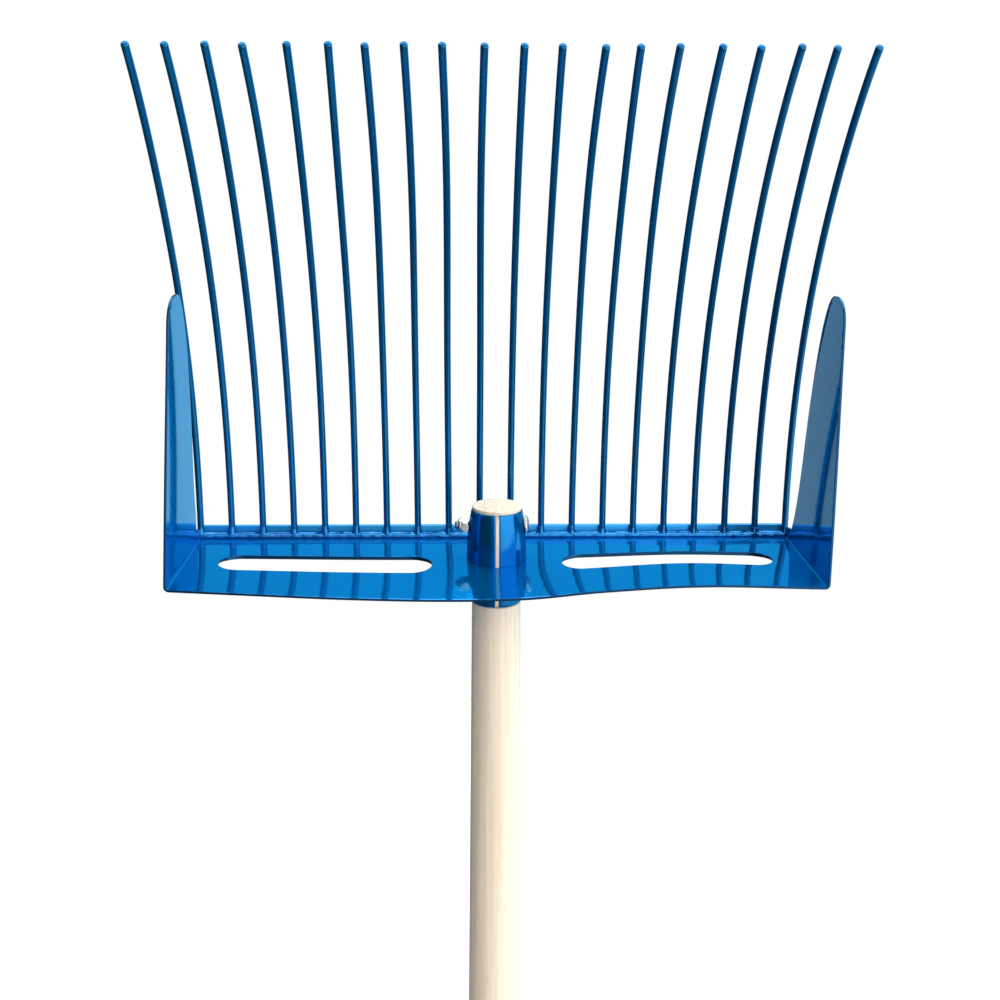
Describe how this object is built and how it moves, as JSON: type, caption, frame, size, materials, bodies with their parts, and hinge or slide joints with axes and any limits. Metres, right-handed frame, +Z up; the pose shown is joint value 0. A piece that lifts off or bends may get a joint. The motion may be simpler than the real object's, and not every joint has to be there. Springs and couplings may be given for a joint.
{
  "type": "bedding fork",
  "caption": "Long-handled hay and bedding fork: parallel curved round tines on a heel bar, a slotted sheet scoop with side wings, a split socket and a tapered wooden handle.",
  "frame": {"origin": "on the handle's axis, where the straight shaft begins above its rounded butt", "axes": "+Z runs up the handle to the head; +X runs along the row of tines, to the right as seen from the scoop's open side; +Y points to the back of the tines, and the tines curve forward towards -Y"},
  "size_m": [0.3842, 0.1193, 1.6139],
  "materials": {
    "ash_wood": "pale straight-grained hardwood, sanded and lightly oiled",
    "blue_sheet": "high-gloss bright blue powder coat on sheet steel",
    "blue_socket": "high-gloss blue powder coat on steel tube",
    "blue_tine": "glossy darker blue powder coat on round steel rod",
    "blue_weld": "glossy blue powder coat over a bumpy weld bead",
    "zinc_steel": "bright zinc plate",
    "nylon": "milky white nylon"
  },
  "bodies": {
    "root": {"handle": "ash_wood", "socket_sleeve": "blue_socket", "scoop_shell": "blue_sheet", "heel_bar": "blue_sheet", "heel_weld": "blue_weld", "socket_weld": "blue_weld", "carriage_bolt": "zinc_steel", "lock_nut": "zinc_steel", "nut_insert": "nylon", "tine_01": "blue_tine", "tine_02": "blue_tine", "tine_03": "blue_tine", "tine_04": "blue_tine", "tine_05": "blue_tine", "tine_06": "blue_tine", "tine_07": "blue_tine", "tine_08": "blue_tine", "tine_09": "blue_tine", "tine_10": "blue_tine", "tine_11": "blue_tine", "tine_12": "blue_tine", "tine_13": "blue_tine", "tine_14": "blue_tine", "tine_15": "blue_tine", "tine_16": "blue_tine", "tine_17": "blue_tine", "tine_18": "blue_tine", "tine_19": "blue_tine", "tine_20": "blue_tine"}
  },
  "joints": []
}
